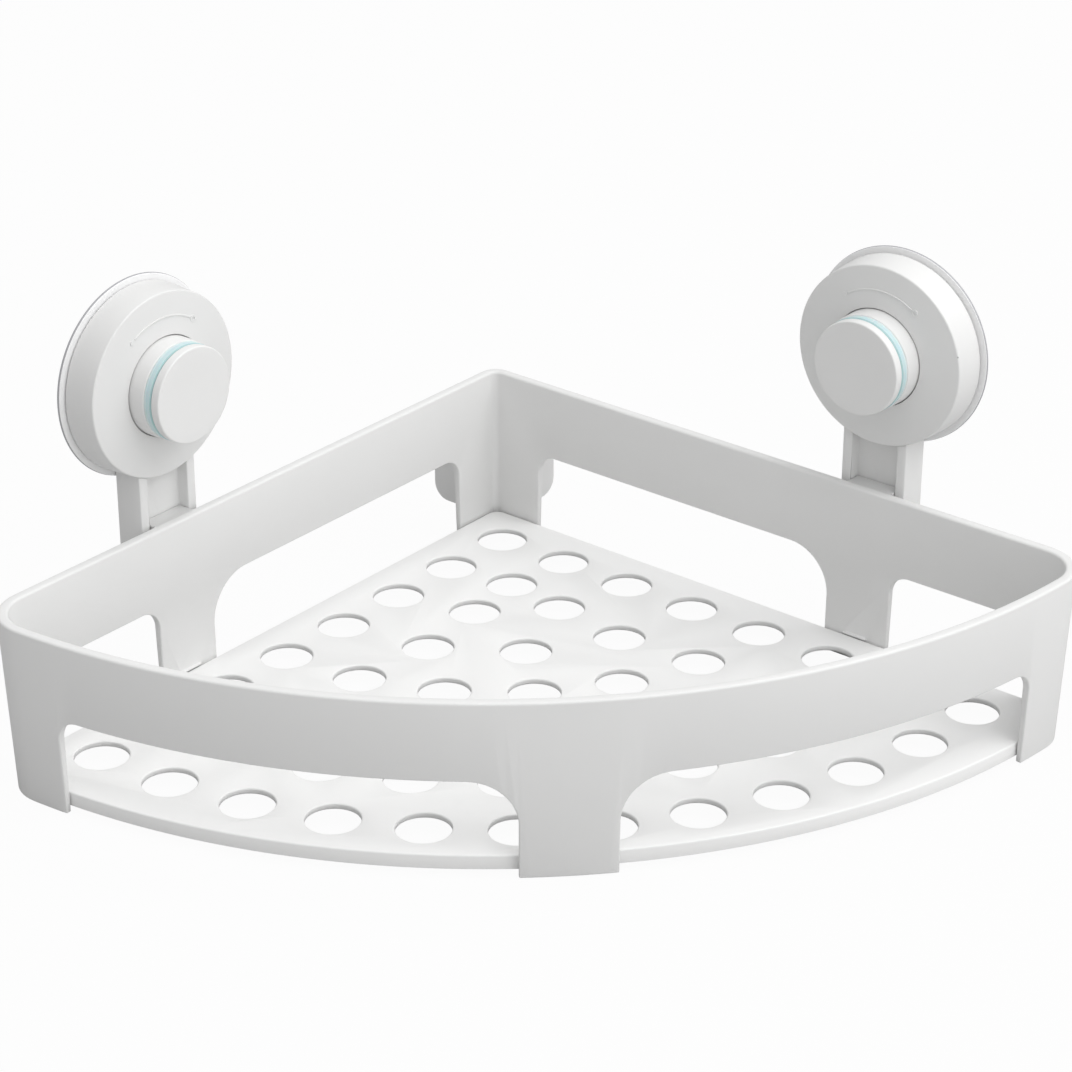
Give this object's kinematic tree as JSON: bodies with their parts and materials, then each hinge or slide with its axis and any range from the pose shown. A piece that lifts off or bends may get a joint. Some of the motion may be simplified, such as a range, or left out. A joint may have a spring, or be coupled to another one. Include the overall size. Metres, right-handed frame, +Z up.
{
  "type": "corner shower caddy",
  "caption": "Quarter-round bathroom corner basket with a holed drain tray, hung on twist-lock suction holders with knobs, one on each wall.",
  "frame": {"origin": "middle of the bounding box at the level of the feet", "axes": "+Z up, front of the basket towards -Y, back corner towards +Y, +X to the right seen from the front"},
  "size_m": [0.3196, 0.2358, 0.1344],
  "materials": {
    "basket_plastic": "white moulded plastic, soft satin",
    "tray_plastic": "white moulded plastic, soft satin",
    "white_plastic": "white moulded plastic, satin",
    "teal_plastic": "pale teal tinted plastic",
    "clear_soft_plastic": "translucent soft suction pad",
    "screw_steel": "zinc plated"
  },
  "bodies": {
    "basket": {"basket_wall": "basket_plastic", "drain_tray": "tray_plastic"},
    "left_holder": {"left_pressure_housing": "white_plastic", "left_hanger_arm": "white_plastic", "left_arm_screws": "screw_steel", "left_thrust_washer": "screw_steel"},
    "left_knob": {"left_drive_nut": "white_plastic", "left_knob_collar": "white_plastic", "left_indicator_ring": "teal_plastic", "left_knob_cap": "white_plastic"},
    "left_pad": {"left_suction_pad": "clear_soft_plastic", "left_pad_stud": "white_plastic"},
    "right_holder": {"right_pressure_housing": "white_plastic", "right_hanger_arm": "white_plastic", "right_arm_screws": "screw_steel", "right_thrust_washer": "screw_steel"},
    "right_knob": {"right_drive_nut": "white_plastic", "right_knob_collar": "white_plastic", "right_indicator_ring": "teal_plastic", "right_knob_cap": "white_plastic"},
    "right_pad": {"right_suction_pad": "clear_soft_plastic", "right_pad_stud": "white_plastic"}
  },
  "joints": [
    {"name": "left_hook_slide", "type": "slide", "parent": "basket", "child": "left_holder", "axis": [0, 0, 1], "range_m": [-0.0118, 0]},
    {"name": "left_knob_turn", "type": "hinge", "parent": "left_holder", "child": "left_knob", "pos_m": [-0.11851, 0.01886, 0.1024], "axis": [0.7071, -0.7071, 0], "range_deg": [0, 90]},
    {"name": "left_pad_release", "type": "slide", "parent": "left_holder", "child": "left_pad", "axis": [-0.7071, 0.7071, 0], "range_m": [0, 0.0025]},
    {"name": "right_hook_slide", "type": "slide", "parent": "basket", "child": "right_holder", "axis": [0, 0, 1], "range_m": [-0.0118, 0]},
    {"name": "right_knob_turn", "type": "hinge", "parent": "right_holder", "child": "right_knob", "pos_m": [0.11851, 0.01886, 0.1024], "axis": [-0.7071, -0.7071, 0], "range_deg": [0, 90]},
    {"name": "right_pad_release", "type": "slide", "parent": "right_holder", "child": "right_pad", "axis": [0.7071, 0.7071, 0], "range_m": [0, 0.0025]}
  ],
  "couplings": [
    {"joint": "left_pad_release", "follows": "left_knob_turn", "m_per_rad": 0.0015915},
    {"joint": "right_pad_release", "follows": "right_knob_turn", "m_per_rad": 0.0015915}
  ]
}
